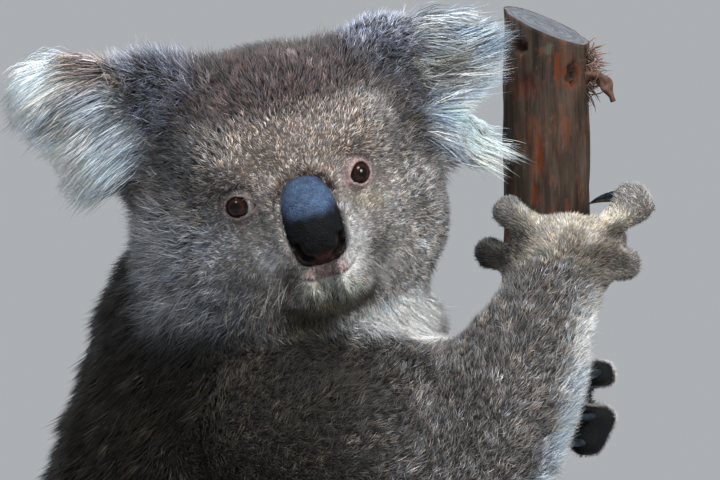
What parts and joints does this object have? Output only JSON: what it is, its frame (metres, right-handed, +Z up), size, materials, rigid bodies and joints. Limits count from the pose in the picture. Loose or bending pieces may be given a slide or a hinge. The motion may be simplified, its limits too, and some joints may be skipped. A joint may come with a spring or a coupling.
{
  "type": "koala museum model",
  "caption": "Life-size still model of a koala clinging upright to a short sawn branch, head turned to one side, on a flat base with a short rod.",
  "frame": {"origin": "middle of the stand base's underside, on the surface that it rests on", "axes": "+Z up along the branch; +X the way the koala's chest faces, towards the branch; -Y the way its head is turned, to its own right"},
  "size_m": [0.3235, 0.3029, 0.6017],
  "materials": {
    "fur_face": "short dense warm-grey fur, salt-and-pepper",
    "fur_ear": "charcoal woolly back, long white fringe",
    "fur_back": "dark brown-grey woolly fur",
    "fur_limb": "mottled silver-grey fur with a pale fringe underneath",
    "fur_paw": "short cream-tan fur over black leathery pads",
    "nose_leather": "pebbled slate-black skin",
    "eyeball": "wet dark amber-brown",
    "claw_horn": "smooth blue-black horn",
    "bark": "rough grey-brown bark with rust-red streaks",
    "base_board": "satin oiled board",
    "rod_steel": "brushed"
  },
  "bodies": {
    "root": {"claw_foot_left_2": "claw_horn", "claw_foot_left_3": "claw_horn", "claw_foot_left_4": "claw_horn", "claw_foot_left_5": "claw_horn", "claw_foot_right_2": "claw_horn", "claw_foot_right_3": "claw_horn", "claw_foot_right_4": "claw_horn", "claw_foot_right_5": "claw_horn", "claw_hand_left_1": "claw_horn", "claw_hand_left_2": "claw_horn", "claw_hand_left_3": "claw_horn", "claw_hand_left_4": "claw_horn", "claw_hand_left_5": "claw_horn", "claw_hand_right_1": "claw_horn", "claw_hand_right_2": "claw_horn", "claw_hand_right_3": "claw_horn", "claw_hand_right_4": "claw_horn", "claw_hand_right_5": "claw_horn", "ear_left": "fur_ear", "ear_right": "fur_ear", "eye_left": "eyeball", "eye_right": "eyeball", "foot_left": "fur_paw", "foot_right": "fur_paw", "forearm_left": "fur_limb", "forearm_right": "fur_limb", "hand_left": "fur_paw", "hand_right": "fur_paw", "head": "fur_face", "neck": "fur_back", "nose": "nose_leather", "perch_branch": "bark", "shank_left": "fur_limb", "shank_right": "fur_limb", "stand_base": "base_board", "stand_rod": "rod_steel", "thigh_left": "fur_back", "thigh_right": "fur_back", "torso": "fur_back", "upper_arm_left": "fur_limb", "upper_arm_right": "fur_limb"}
  },
  "joints": []
}
